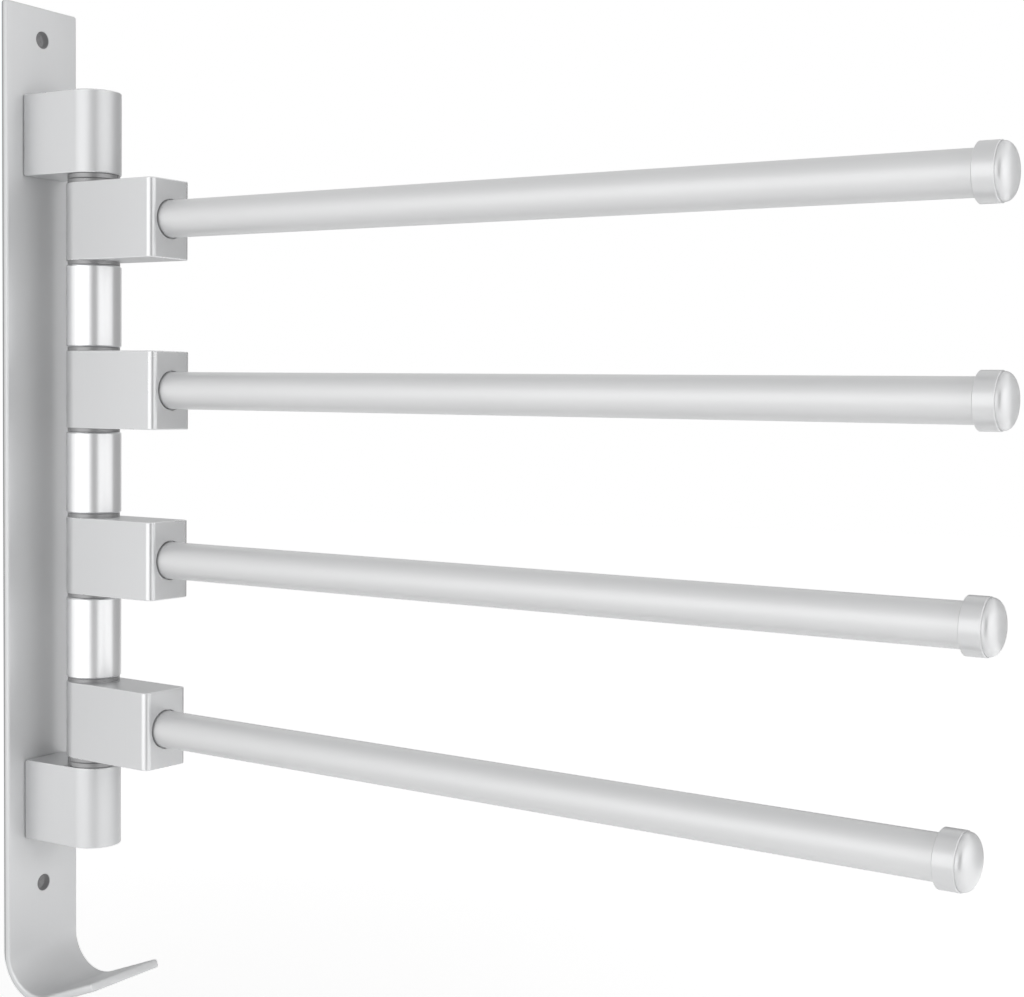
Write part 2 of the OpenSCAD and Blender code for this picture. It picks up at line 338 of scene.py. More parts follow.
def plate_marks(finish, colour, roughness):
    """Adds bright edges, and painted shade in the holes and along the wall, to the plate's finish.
    """
    x, y, z = finish.place()
    edge_x = plate_w / 2 - edge_band
    edge = finish.ramp(finish.size_of(x), edge_x, edge_x + edge_band * 2 / 3)
    beside = finish.node(
        "ShaderNodeCombineXYZ", None, {"X": x, "Y": finish.size_of(z) - wall_hole_z}
    )
    away = finish.node("ShaderNodeVectorMath", {"operation": "LENGTH"}, {0: beside}, out="Value")
    # painted shade: the hole walls are coloured dark
    painted_hole_shade = 1 - finish.ramp(away, wall_hole_r + hole_band, wall_hole_r + 2 * hole_band)
    # painted shade: a dark line along the long edges next to the wall
    painted_wall_shade = edge * finish.ramp(y, -wall_shade_band, -wall_shade_band * 2 / 3)
    colour = finish.towards(finish.towards(colour, painted_hole_shade, HOLE_WALL_SHADE), painted_wall_shade, WALL_SIDE_SHADE)
    sheen = edge * (satin_sheen - dull_sheen) + dull_sheen
    return colour, sheen, roughness - edge * edge_polish


plate_finish = satin_aluminium("satin_plate", "Z", plate_roughness, marks=plate_marks)

# %% [markdown]
# The sleeves between the blocks and the caps on the bars are turned and polished, so they mirror
# the studio in sharper bands. Turning leaves fine rings: noise that is stretched round the axis
# and tight along it does that.

# %% Bright aluminium
SLEEVE_TONES = ((0.86, 0.865, 0.872), (0.90, 0.905, 0.912))
CAP_TONES = ((0.68, 0.684, 0.69), (0.72, 0.724, 0.73))
sleeve_roughness = 0.26
ring_spacing = 2200
ring_stretch = 30
ring_marks = 0.06
ring_depth = 0.003 * MM


def bright_aluminium(name, tones, ringed_along, roughness, sheen=1.0, depth=ring_depth, turn=0.0):
    """Turned metal with fine rings across one axis."""
    finish = Finish(name)
    spread = tuple(ring_spacing if axis == ringed_along else ring_stretch for axis in "XYZ")
    rings = finish.pattern(spread, turn)
    drift = finish.pattern((ring_stretch, ring_stretch, ring_stretch), turn)
    return finish.shade(
        Base_Color=finish.between(drift, *tones),
        Metallic=sheen,
        Roughness=rings * ring_marks + roughness,
        Normal=finish.bumped(rings, depth),
    )


sleeve_finish = bright_aluminium("bright_sleeve", SLEEVE_TONES, "Z", sleeve_roughness)

# %% [markdown]
# Three plain finishes complete the set: grey nylon for the bushes and washers, slightly mottled and
# half glossy, turned steel for the rod and screws, and painted shade for the inside of a screw's
# socket.

# %% Moulded nylon
NYLON_TONES = ((0.29, 0.29, 0.295), (0.35, 0.35, 0.355))
nylon_sheen = 0.6
nylon_roughness = 0.24
mottle_size = (220, 220, 220)
mottle_marks = 0.12
peel_size = (1500, 1500, 1500)
peel_depth = 0.01 * MM


def moulded_nylon():
    """Moulded nylon: mottled tone and a fine orange peel."""
    finish = Finish("moulded_nylon")
    mottle = finish.pattern(mottle_size)
    peel = finish.pattern(peel_size)
    return finish.shade(
        Base_Color=finish.between(mottle, *NYLON_TONES),
        Metallic=nylon_sheen,
        Roughness=mottle * mottle_marks + nylon_roughness,
        Normal=finish.bumped(peel, peel_depth),
    )


nylon_finish = moulded_nylon()

# %% Turned steel
STEEL_TONES = ((0.42, 0.42, 0.425), (0.52, 0.52, 0.525))
steel_roughness = 0.24
turning_size = (400, 400, 1800)
turning_marks = 0.12
turning_depth = 0.004 * MM


def turned_steel():
    """Plain turned steel, greyer than the aluminium."""
    finish = Finish("turned_steel")
    rings = finish.pattern(turning_size)
    return finish.shade(
        Base_Color=finish.between(rings, *STEEL_TONES),
        Metallic=1.0,
        Roughness=rings * turning_marks + steel_roughness,
        Normal=finish.bumped(rings, turning_depth),
    )


steel_finish = turned_steel()

# %% Sockets with painted shade
# near black colours that paint the shade inside a socket
SOCKET_SHADE_TONES = ((0.05, 0.05, 0.052), (0.09, 0.09, 0.092))
socket_sheen = 0.4
socket_roughness = 0.45
socket_mottle_size = (900, 900, 900)
socket_mottle_marks = 0.1


def painted_socket_shade():
    """Steel coloured near black as painted shade, for the walls and bottom of a socket."""
    finish = Finish("painted_socket_shade")
    socket_mottle = finish.pattern(socket_mottle_size)
    return finish.shade(
        Base_Color=finish.between(socket_mottle, *SOCKET_SHADE_TONES),
        Metallic=socket_sheen,
        Roughness=socket_mottle * socket_mottle_marks + socket_roughness,
    )


socket_shade_finish = painted_socket_shade()

# %% [markdown]
# Pieces are shaped in a bmesh, an editable mesh in memory. These helpers do what every piece
# needs: soften edges, drill a hole, and turn the result into an object that rides on its body.
#
# Faces meet at a sharp edge only where they turn by more than SHARP, so curves stay smooth and
# flats stay flat.

# %% Finishing a piece
WELD = 0.001 * MM
SHARP = math.radians(12)


def make_piece(name, shape, finish, body, nodes, place=None, second=None):
    """Welds a shape, moves it to its place and makes it an object that stands for CAD nodes."""
    if place is not None:
        bmesh.ops.transform(shape, matrix=place, verts=shape.verts)
    bmesh.ops.remove_doubles(shape, verts=shape.verts, dist=WELD)
    bmesh.ops.recalc_face_normals(shape, faces=shape.faces)
    mesh = bpy.data.meshes.new(name)
    shape.to_mesh(mesh)
    shape.free()
    mesh.shade_smooth()
    mesh.set_sharp_from_angle(angle=SHARP)
    mesh.materials.append(finish)
    if second is not None:
        mesh.materials.append(second)
    piece = bpy.data.objects.new(name, mesh)
    bpy.context.scene.collection.objects.link(piece)
    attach(piece, body)
    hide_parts(*nodes)
    print("piece", name, "with", len(mesh.polygons), "faces")
    return piece


def soften(shape, edges, width, steps=2, rubbed=False):
    """Bevels some edges with a round profile, and may mark the new faces as rubbed."""
    made = bmesh.ops.bevel(
        shape,
        geom=edges,
        affect="EDGES",
        offset=width,
        offset_type="OFFSET",
        segments=steps,
        profile=0.5,
        material=-1,
        clamp_overlap=False,
    )
    for face in made["faces"]:
        face.material_index = 1 if rubbed else 0


# %% Turning a profile on a lathe
def lathe(shape, profile, steps, closed=True, centre=(0, 0, 0), axis=(0, 0, 1)):
    """Spins a profile of (radius, height) pairs round an axis, and gives back its new edges."""
    upright = Vector(axis)
    side = upright.orthogonal().normalized()
    middle_point = Vector(centre)
    points = [shape.verts.new(middle_point + side * r + upright * h) for r, h in profile]
    pairs = list(zip(points, points[1:]))
    if closed:
        pairs.append((points[-1], points[0]))
    lines = [shape.edges.new(pair) for pair in pairs]
    before = set(shape.edges) - set(lines)
    bmesh.ops.spin(
        shape,
        geom=points + lines,
        cent=middle_point,
        axis=upright,
        angle=2 * math.pi,
        steps=steps,
        use_merge=True,
    )
    return [edge for edge in shape.edges if edge not in before]


def rim_at(edges, centre, axis, height):
    """The open edges among some that lie at one height along an axis."""
    def off(point):
        return abs((point - Vector(centre)).dot(Vector(axis)) - height)
    return [
        edge for edge in edges
        if edge.is_valid and len(edge.link_faces) == 1 and all(off(v.co) < WELD for v in edge.verts)
    ]


# %% [markdown]
# A hole in a flat face takes two steps. The hole's wall is turned on the lathe first, with its
# bevelled or countersunk mouth. Then the face is taken out and filled again with triangles that
# leave the rims of the holes open. That keeps every piece closed, and needs no boolean.

# %% Opening a flat face round its holes
SAME_WAY = 0.999


def face_towards(shape, way):
    """The largest face whose normal points one way."""
    shape.normal_update()
    facing = [face for face in shape.faces if face.normal.dot(Vector(way)) > SAME_WAY]
    return max(facing, key=lambda face: face.calc_area())


def open_face(shape, face, rims):
    """Fills a face again, round the rims of its holes."""
    outline = list(face.edges)
    normal = face.normal.copy()
    bmesh.ops.delete(shape, geom=[face], context="FACES_ONLY")
    bmesh.ops.triangle_fill(shape, use_beauty=True, edges=outline + rims, normal=normal)


# %% [markdown]
# The back plate is one flat bar. Its foot is bent outwards through a right angle and some more,
# so the lip rises. In the mesh that is a block, a spin and an extrusion: the block's lower end
# face is spun round the bend's centre, and the last face is pushed out along the lip. The long
# edges are softened in one go, and then the two flats are opened round the holes. A screw keeps
# seat_gap of play in its hole, as does every fitted piece from here on.

# %% The strip, its bend and its lip
strip_edge = 1.0 * MM
strip_edge_steps = 4
bend_r = 14 * MM
lip_rise = math.radians(21)
bend_steps = 28
bend_y = -(plate_t + bend_r)
bend_z = plate_low.z + plate_t + bend_r
bend_turn = math.radians(90) + lip_rise
lip_way = Vector((0, -math.cos(lip_rise), math.sin(lip_rise)))
lip_foot_y = bend_y - (bend_r + plate_t) * math.sin(lip_rise)
lip_len = (lip_foot_y - plate_low.y) / math.cos(lip_rise)
print(f"bend centre {bend_y / MM:.1f}, {bend_z / MM:.1f}; lip {lip_len / MM:.1f} long")


def bent_strip():
    """The bar before it is drilled."""
    shape = bmesh.new()
    bmesh.ops.create_cube(shape, size=1.0)
    size = Vector((plate_w, plate_t, plate_high.z - bend_z))
    place = Matrix.Translation((0, -plate_t / 2, (plate_high.z + bend_z) / 2))
    bmesh.ops.transform(shape, matrix=place @ Matrix.Diagonal(size).to_4x4(), verts=shape.verts)
    end = face_towards(shape, (0, 0, -1))
    spun = bmesh.ops.spin(
        shape,
        geom=[end, *end.edges, *end.verts],
        cent=(0, bend_y, bend_z),
        axis=(1, 0, 0),
        angle=-bend_turn,
        steps=bend_steps,
        use_merge=False,
    )
    end = next(item for item in spun["geom_last"] if isinstance(item, bmesh.types.BMFace))
    pushed = bmesh.ops.extrude_face_region(shape, geom=[end])
    tip = [item for item in pushed["geom"] if isinstance(item, bmesh.types.BMVert)]
    bmesh.ops.translate(shape, vec=lip_way * lip_len, verts=tip)
    if end.is_valid:
        bmesh.ops.delete(shape, geom=[end], context="FACES_ONLY")
    return shape


# %% The plate's holes
wall_hole_bevel = 0.35 * MM
seat_gap = 0.02 * MM
screw_r = 2 * MM
screw_head_r = 3.8 * MM
screw_cone = screw_head_r - screw_r
hole_steps = 40
bracket_middle = {"top": middle("top_bracket").z, "foot": middle("bottom_bracket").z}
screw_low, screw_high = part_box("bracket_screws")
screw_spread = (screw_high.z - screw_low.z) - (bracket_middle["top"] - bracket_middle["foot"])
screw_pitch = screw_spread - 2 * screw_head_r
print(f"wall holes at {wall_hole_z / MM:.1f}, bracket screws {screw_pitch / MM:.1f} apart")

WALL_HOLE = [
    (wall_hole_r + wall_hole_bevel, -plate_t), (wall_hole_r, wall_hole_bevel - plate_t),
    (wall_hole_r, -wall_hole_bevel), (wall_hole_r + wall_hole_bevel, 0),
]
SCREW_HOLE = [
    (screw_r + seat_gap, -plate_t), (screw_r + seat_gap, -screw_cone),
    (screw_head_r + seat_gap, 0),
]


def back_plate():
    """The bent strip with softened edges, wall holes and countersunk screw holes."""
    shape = bent_strip()
    shape.normal_update()
    sharp = [edge for edge in shape.edges if edge.calc_face_angle(0) > SHARP]
    soften(shape, sharp, strip_edge, steps=strip_edge_steps)
    holes = [(WALL_HOLE, side * wall_hole_z) for side in (-1, 1)]
    for z in bracket_middle.values():
        holes += [(SCREW_HOLE, z + side * screw_pitch / 2) for side in (-1, 1)]
    front = face_towards(shape, (0, -1, 0))
    back = face_towards(shape, (0, 1, 0))
    front_rims = []
    back_rims = []
    for profile, z in holes:
        centre = (0, 0, z)
        wall = lathe(shape, profile, hole_steps, closed=False, centre=centre, axis=(0, 1, 0))
        front_rims += rim_at(wall, centre, (0, 1, 0), -plate_t)
        back_rims += rim_at(wall, centre, (0, 1, 0), 0)
    open_face(shape, front, front_rims)
    open_face(shape, back, back_rims)
    return shape


make_piece("plate", back_plate(), plate_finish, "wall_frame", ["back_plate"])

# %% [markdown]
# The brackets and the swinging blocks share one form: a block with one round end, cut from the
# same extruded bar. A point is spun through half a turn to draw the round end, the outline is
# closed and filled, and the face is pushed up to the block's height. The level edges get their
# small bevel while the two end faces are still whole.

# %% A block with one round end
nose_steps = 40
corner_steps = 12
bore_steps = 64


def round_ended_block(length, height, corner=0.0):
    """A block round the origin with its square end towards -Y and its round end towards +Y."""
    shape = bmesh.new()
    first = shape.verts.new((block_r, 0, -height / 2))
    bmesh.ops.spin(
        shape, geom=[first], cent=(0, 0, 0), axis=(0, 0, 1), angle=math.pi, steps=nose_steps
    )
    shape.verts.ensure_lookup_table()
    arc_end = min(shape.verts, key=lambda vert: vert.co.x)
    corners = [shape.verts.new((side * block_r, -length, -height / 2)) for side in (-1, 1)]
    for pair in ((arc_end, corners[0]), (corners[0], corners[1]), (corners[1], first)):
        shape.edges.new(pair)
    bmesh.ops.contextual_create(shape, geom=shape.edges[:])
    pushed = bmesh.ops.extrude_face_region(shape, geom=shape.faces[:])
    lifted = [item for item in pushed["geom"] if isinstance(item, bmesh.types.BMVert)]
    bmesh.ops.translate(shape, vec=(0, 0, height), verts=lifted)
    if corner > 0:
        upright = [
            edge for edge in shape.edges
            if all(abs(vert.co.y + length) < WELD for vert in edge.verts)
            and abs(edge.verts[0].co.z - edge.verts[1].co.z) > WELD
        ]
        soften(shape, upright, corner, steps=corner_steps, rubbed=True)
    bmesh.ops.recalc_face_normals(shape, faces=shape.faces)
    return shape


def level_edges(shape, height):
    """The outline edges of both end faces."""
    return [
        edge for edge in shape.edges
        if all(abs(abs(vert.co.z) - height / 2) < WELD for vert in edge.verts)
        and edge.verts[0].co.z * edge.verts[1].co.z > 0
    ]


def drill_upright(shape, profile, low, high):
    """Drills a block from its lower to its upper face with one turned profile."""
    under = face_towards(shape, (0, 0, -1))
    upper = face_towards(shape, (0, 0, 1))
    wall = lathe(shape, profile, bore_steps, closed=False)
    low_rim = rim_at(wall, (0, 0, 0), (0, 0, 1), low)
    high_rim = rim_at(wall, (0, 0, 0), (0, 0, 1), high)
    open_face(shape, under, low_rim)
    open_face(shape, upper, high_rim)


# %% [markdown]
# A bracket's round end is its nose, towards the room, and its square end stands on the plate. The
# rod's screw sits in a round pocket in the outer face. Round the square end the bracket stops just
# short of the plate: its face is inset and pushed out, which leaves the thin shadow of the joint.

# %% The two brackets
rod_hole_r = 4 * MM + seat_gap
pocket_r = 5.5 * MM + seat_gap
pocket_depth = 3 * MM
gap_w = 0.7 * MM
gap_depth = 0.6 * MM


def bracket(node, outer_side):
    """A bracket with its screw pocket, and the move that puts the pocket on its outer side."""
    size = extent(node)
    stem = size.y - block_r - gap_w
    half = size.z / 2
    shape = round_ended_block(stem, size.z)
    soften(shape, level_edges(shape, size.z), edge_bevel, rubbed=True)
    foot = face_towards(shape, (0, -1, 0))
    bmesh.ops.inset_region(shape, faces=[foot], thickness=gap_depth, use_even_offset=True)
    pushed = bmesh.ops.extrude_face_region(shape, geom=[foot])
    tip = [item for item in pushed["geom"] if isinstance(item, bmesh.types.BMVert)]
    bmesh.ops.translate(shape, vec=(0, -gap_w, 0), verts=tip)
    if foot.is_valid:
        bmesh.ops.delete(shape, geom=[foot], context="FACES_ONLY")
    profile = [
        (rod_hole_r, -half), (rod_hole_r, half - pocket_depth),
        (pocket_r, half - pocket_depth), (pocket_r, half),
    ]
    drill_upright(shape, profile, -half, half)
    to_wall = Matrix.Rotation(math.pi, 4, "Z")
    flip = Matrix.Identity(4) if outer_side > 0 else Matrix.Rotation(math.pi, 4, "Y")
    return shape, Matrix.Translation((0, pivot_y, middle(node).z)) @ to_wall @ flip


BRACKETS = (("bracket_top", "top_bracket", 1), ("bracket_foot", "bottom_bracket", -1))
for name, node, outer_side in BRACKETS:
    shape, place = bracket(node, outer_side)
    make_piece(
        name, shape, bracket_finish, "wall_frame", [node], place, rubbed_finish
    )

# %% [markdown]
# A swinging block has rounded front corners, which catch the light as a bright upright line, and
# a socket in its front face where the bar goes in. The socket's mouth is opened a little wider
# than the bar. That ring of shadow is what makes the bar look fitted and not glued on.

# %% The four swinging blocks
corner_r = 2.4 * MM
socket_gap = 0.05 * MM
mouth_gap = 0.5 * MM
mouth_depth = 1.5 * MM
bush_hole_r = 6.02 * MM
socket_steps = 72


def swinging_block(arm):
    """A block round its pivot, drilled for its bushes and its bar."""
    node = f"knuckle_{arm}"
    bar_r = extent(f"arm_tube_{arm}").z / 2
    length = reach(node, arm)[1]
    height = extent(node).z
    shape = round_ended_block(length, height, corner_r)
    soften(shape, level_edges(shape, height), edge_bevel, rubbed=True)
    half = height / 2
    drill_upright(shape, [(bush_hole_r, -half), (bush_hole_r, half)], -half, half)
    front = face_towards(shape, (0, -1, 0))
    socket_floor = reach(f"arm_tube_{arm}", arm)[0] - socket_gap
    mouth = [
        (0, -socket_floor),
        (bar_r + socket_gap, -socket_floor),
        (bar_r + socket_gap, mouth_depth - length),
        (bar_r + mouth_gap, mouth_depth - length),
        (bar_r + mouth_gap, -length),
    ]
    wall = lathe(shape, mouth, socket_steps, closed=False, axis=(0, 1, 0))
    open_face(shape, front, rim_at(wall, (0, 0, 0), (0, 1, 0), -length))
    return shape


for arm in ARMS:
    make_piece(
        f"block_{arm}", swinging_block(arm), block_finish, f"arm_{arm}",
        [f"knuckle_{arm}"], arm_place[arm], rubbed_finish,
    )

# %% [markdown]
# The rest of the stack is lathe work: bright sleeves between the blocks, grey washers next to the
# brackets, and the flanged bushes that the blocks turn on. Each is a profile spun once round.

# %% Sleeves, washers and bushes
sleeve_bevel = 0.5 * MM
sleeve_steps = 96
nylon_bevel = 0.2 * MM
nylon_steps = 72


def ring_profile(inner, outer, low, high, bevel):
    """A ring's section with its two outer corners bevelled."""
    return [
        (inner, low), (outer - bevel, low), (outer, low + bevel),
        (outer, high - bevel), (outer - bevel, high), (inner, high),
    ]


def stand_in_stack(node):
    """The move from round the origin to a node's place in the stack."""
    return Matrix.Translation((0, pivot_y, middle(node).z))


for gap in (1, 2, 3):
    node = f"spacer_sleeve_{gap}"
    half = extent(node).z / 2
    shape = bmesh.new()
    lathe(shape, ring_profile(rod_hole_r, block_r, -half, half, sleeve_bevel), sleeve_steps)
    make_piece(
        f"sleeve_{gap}", shape, sleeve_finish, "wall_frame", [node],
        stand_in_stack(node),
    )

for name, node in (("washer_top", "top_washer"), ("washer_foot", "bottom_washer")):
    half = extent(node).z / 2
    shape = bmesh.new()
    profile = ring_profile(rod_hole_r, extent(node).x / 2, -half, half, nylon_bevel)
    lathe(shape, profile, nylon_steps)
    make_piece(name, shape, nylon_finish, "wall_frame", [node], stand_in_stack(node))

# %% The flanged bushes
flange_t = 1.5 * MM
bush_bore_r = 4.05 * MM


def flanged_bush(node):
    """A bush with its flange on top, round the origin."""
    flange_r = extent(node).x / 2
    half = extent(node).z / 2
    shape = bmesh.new()
    barrel_r = bush_hole_r - seat_gap
    profile = [
        (bush_bore_r, -half), (barrel_r, -half), (barrel_r, half - flange_t),
        (flange_r, half - flange_t), (flange_r, half - nylon_bevel),
        (flange_r - nylon_bevel, half), (bush_bore_r, half),
    ]
    lathe(shape, profile, nylon_steps)
    return shape


for arm in ARMS:
    for name, flip in (("upper", 0.0), ("lower", math.pi)):
        node = f"{name}_bush_{arm}"
        place = stand_in_stack(node) @ Matrix.Rotation(flip, 4, "X")
        make_piece(
            f"bush_{name}_{arm}", flanged_bush(node), nylon_finish, f"arm_{arm}",
            [node], place,
        )

# %% [markdown]
# The bars are thin tubes, and what shows of them is one long smooth cylinder. Their finish is the
# satin one, a little lighter, with its die lines turned to run along each arm. The lathe axis here
# is Y, along the arm, and the distances are measured from the pivot in the frame.

# %% The bars
bar_wall = 1 * MM
bar_steps = 96
bar_roughness = 0.48
BAR_TONES = ((0.69, 0.693, 0.697), (0.73, 0.733, 0.737))
for arm in ARMS:
    node = f"arm_tube_{arm}"
    near, far = reach(node, arm)
    bar_r = extent(node).z / 2
    shape = bmesh.new()
    profile = ring_profile(bar_r - bar_wall, bar_r, -far, -near, nylon_bevel)
    lathe(shape, profile, bar_steps, axis=(0, 1, 0))
    finish = satin_aluminium(
        f"satin_bar_{arm}", "Y", bar_roughness, BAR_TONES, rest_angle[arm]
    )
    make_piece(f"bar_{arm}", shape, finish, f"arm_{arm}", [node], arm_place[arm])

# %% [markdown]
# An end cap is pushed over the bar. From the side it is a short straight collar, a narrow groove
# and a dome that turns fast at its rim and slowly in its middle. One formula draws the dome: a
# superellipse, whose power of 2 would give an ellipse and a high power almost a box. It has no
# kink, so the bright band on it runs softly. The groove draws the fine line behind the dome.

# %% The end caps
collar_len = 6.3 * MM
collar_bevel = 0.2 * MM
dome_inset = 0.25 * MM
groove_w = 0.5 * MM
groove_depth = 0.42 * MM
dome_power = 2.45
dome_steps = 22
cap_web = 2.6 * MM
cap_roughness = 0.30
cap_sheen = 0.6
cap_ring_depth = 0.001 * MM


def cap_profile(cap_r, bore_r, cap_len):
    """The cap's section as (radius, distance from the pivot end) pairs, bore first."""
    bore_end = cap_len - cap_web
    groove_r = cap_r - groove_depth
    dome_r = cap_r - dome_inset
    dome_rise = cap_len - collar_len
    points = [
        (0, bore_end), (bore_r, bore_end), (bore_r, 0), (cap_r - collar_bevel, 0),
        (cap_r, collar_bevel), (cap_r, collar_len - collar_bevel),
        (cap_r - collar_bevel, collar_len), (groove_r, collar_len),
        (groove_r, collar_len + groove_w),
    ]
    start = math.asin((groove_w / dome_rise) ** (dome_power / 2))
    for step in range(dome_steps):
        turn = start + (math.radians(90) - start) * step / dome_steps
        r = dome_r * math.cos(turn) ** (2 / dome_power)
        points.append((r, collar_len + dome_rise * math.sin(turn) ** (2 / dome_power)))
    return points + [(0, cap_len)]


for arm in ARMS:
    node = f"end_cap_{arm}"
    near, far = reach(node, arm)
    cap_r = extent(node).z / 2
    bore_r = extent(f"arm_tube_{arm}").z / 2 + seat_gap
    shape = bmesh.new()
    profile = [(r, -near - along) for r, along in cap_profile(cap_r, bore_r, far - near)]
    lathe(shape, profile, bar_steps, closed=False, axis=(0, 1, 0))
    finish = bright_aluminium(
        f"bright_cap_{arm}", CAP_TONES, "Y", cap_roughness, cap_sheen, cap_ring_depth,
        rest_angle[arm],
    )
    make_piece(
        f"cap_{arm}", shape, finish, f"arm_{arm}", [node], arm_place[arm]
    )

# %% [markdown]
# Six screws show their heads: a flat head in the pocket of each bracket, and four countersunk ones
# in the back of the plate. Each is turned on the lathe with its face left open. The face is filled
# between its rim and a hexagon, and the hexagon is pushed in as a socket whose walls get painted
# shade.

# %% A screw with a hexagon socket
hexagon_r = 2.5 * MM / math.sqrt(3)
hexagon_depth = 1.4 * MM
screw_steps = 64


def add_screw(shape, profile, centre, way):
    """Adds a screw whose head's face lies at the centre and looks one way."""
    wall = lathe(shape, profile, screw_steps, closed=False, centre=centre, axis=way)
    place = Matrix.Translation(centre) @ Vector(way).to_track_quat("Z", "Y").to_matrix().to_4x4()
    ring = bmesh.ops.create_circle(shape, segments=6, radius=hexagon_r, matrix=place)["verts"]
    hexagon = [edge for edge in shape.edges if all(vert in ring for vert in edge.verts)]
    outline = rim_at(wall, centre, way, 0) + hexagon
    bmesh.ops.triangle_fill(shape, use_beauty=True, edges=outline, normal=way)
    pushed = bmesh.ops.extrude_edge_only(shape, edges=hexagon)["geom"]
    foot = [item for item in pushed if isinstance(item, bmesh.types.BMVert)]
    foot_edges = [item for item in pushed if isinstance(item, bmesh.types.BMEdge)]
    bmesh.ops.translate(shape, vec=Vector(way) * -hexagon_depth, verts=foot)
    foot_ring = [edge for edge in foot_edges if all(vert in foot for vert in edge.verts)]
    bottom = bmesh.ops.contextual_create(shape, geom=foot_ring)["faces"]
    # the socket's walls and bottom take the second finish, its painted shade
    for face in [item for item in pushed if isinstance(item, bmesh.types.BMFace)] + bottom:
        face.material_index = 1


# %% The screws that show
screw_tip = 0.3 * MM
rim_edge = 0.12 * MM
bracket_screw_len = 14 * MM
rod_screw_r = extent("rod_end_screws").x / 2
rod_screw_len = 15 * MM
rod_screw_edge = 0.4 * MM


def screw_profile(length, head):
    """A screw's section from its tip up to the rim of its head, whose face is at 0."""
    tip = [(0, -length), (screw_r - screw_tip, -length), (screw_r, screw_tip - length)]
    return tip + head


COUNTERSUNK = screw_profile(bracket_screw_len, [
    (screw_r, -screw_cone), (screw_head_r - rim_edge, -rim_edge),
    (screw_head_r - 2 * rim_edge, 0),
])
FLAT_HEAD = screw_profile(rod_screw_len, [
    (screw_r, -pocket_depth), (rod_screw_r, -pocket_depth),
    (rod_screw_r, -rod_screw_edge), (rod_screw_r - rod_screw_edge, 0),
])

shape = bmesh.new()
for z in bracket_middle.values():
    for side in (-1, 1):
        add_screw(shape, COUNTERSUNK, (0, 0, z + side * screw_pitch / 2), (0, 1, 0))
make_piece(
    "screws_in_brackets", shape, steel_finish, "wall_frame", ["bracket_screws"],
    second=socket_shade_finish,
)

shape = bmesh.new()
for z, way in zip((box.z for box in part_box("rod_end_screws")), (-1, 1)):
    add_screw(shape, FLAT_HEAD, (0, pivot_y, z), (0, 0, way))
make_piece(
    "screws_in_rod", shape, steel_finish, "wall_frame", ["rod_end_screws"],
    second=socket_shade_finish,
)

# %% [markdown]
# The rod, the tube screws and the tube plugs keep the frame's own meshes. Next to nothing of them
# shows, and their shapes are right as they are, so they only get a finish.

# %% Finishes for the frame's own pieces
def paint(node, finish):
    """Gives one of the frame's own meshes a finish."""
    mesh = frame["nodes"][node].data
    mesh.materials.clear()
    mesh.materials.append(finish)
    print("painted", node, "with", finish.name)


paint("pivot_rod", steel_finish)
for arm in ARMS:
    paint(f"tube_screw_{arm}", steel_finish)
    paint(f"tube_plug_{arm}", nylon_finish)

# %% [markdown]
# The studio. Metal shows what stands round it, so most of the picture's tones are made here and
# not in the finish. Two kinds of things do that, and each has one task.
#
# Soft boxes are lamps. They light what is matt, and mirrors don't show them: the rays of a mirror
# go on through a lamp and would add the white behind it.
#
# Cards are what mirrors show. A white card to the left and one in front draw the bright bands on
# round pieces, and grey cards between and behind them draw the darker bands and edges. Boxes and
# cards face the middle of the object, and the camera sees neither.

# %% White surroundings
def seen_directly(finish):
    """A mask: 1 for what the camera, a mirror or glass sees, 0 for what lights a matt face."""
    mask = finish.node("ShaderNodeLightPath", out="Is Camera Ray")
    for ray in ("Is Glossy Ray", "Is Transmission Ray"):
        other = finish.node("ShaderNodeLightPath", out=ray)
        mask = finish.node("ShaderNodeMath", {"operation": "MAXIMUM"}, {0: mask, 1: other})
    return mask


def white_world(light):
    """A world that looks white, and gives matt faces only some of that light."""
    world = bpy.data.worlds.new("studio_air")
    world.use_nodes = True
    air = Finish(world)
    strength = seen_directly(air) * (1 - light) + light
    glow = air.node("ShaderNodeBackground", None, {"Color": (1, 1, 1, 1), "Strength": strength})
    air.node("ShaderNodeOutputWorld", None, {"Surface": glow})
    bpy.context.scene.world = world
    print(f"white world that lights matt faces with {light:.2f}")


air_light = 0.25
white_world(air_light)

# %% Soft boxes
studio_middle = Vector((0, -0.19, 0.0))


def stand(azimuth, elevation, distance):
    """A place round the object and the turn that faces its middle. Azimuth 0 is +X, 90 is +Y."""
    a, e = math.radians(azimuth), math.radians(elevation)
    way = Vector((math.cos(a) * math.cos(e), math.sin(a) * math.cos(e), math.sin(e)))
    turn = way.to_track_quat("Z", "Y")
    return Matrix.Translation(studio_middle + way * distance) @ turn.to_matrix().to_4x4()


def soft_box(name, azimuth, elevation, distance, width, height, brightness):
    """An area lamp as bright as its face says, where a white background is 1."""
    lamp = bpy.data.lights.new(name, "AREA")
    lamp.shape = "RECTANGLE"
    lamp.size = width
    lamp.size_y = height
    lamp.energy = brightness * math.pi * width * height
    box = bpy.data.objects.new(name, lamp)
    box.matrix_world = stand(azimuth, elevation, distance)
    box.visible_camera = False
    box.visible_glossy = False
    bpy.context.scene.collection.objects.link(box)
    print("soft box", name, f"{lamp.energy:.2f} W")


# name, azimuth, elevation, distance, width, height, brightness
SOFT_BOXES = (
    ("box_left", 168, 5, 1.40, 1.40, 1.2, 1.2),
    ("box_front_left", 260, 8, 1.60, 0.75, 1.0, 4.8),
    ("box_front_right", 281, 6, 1.60, 0.25, 1.0, 11.0),
)
for row in SOFT_BOXES:
    soft_box(*row)

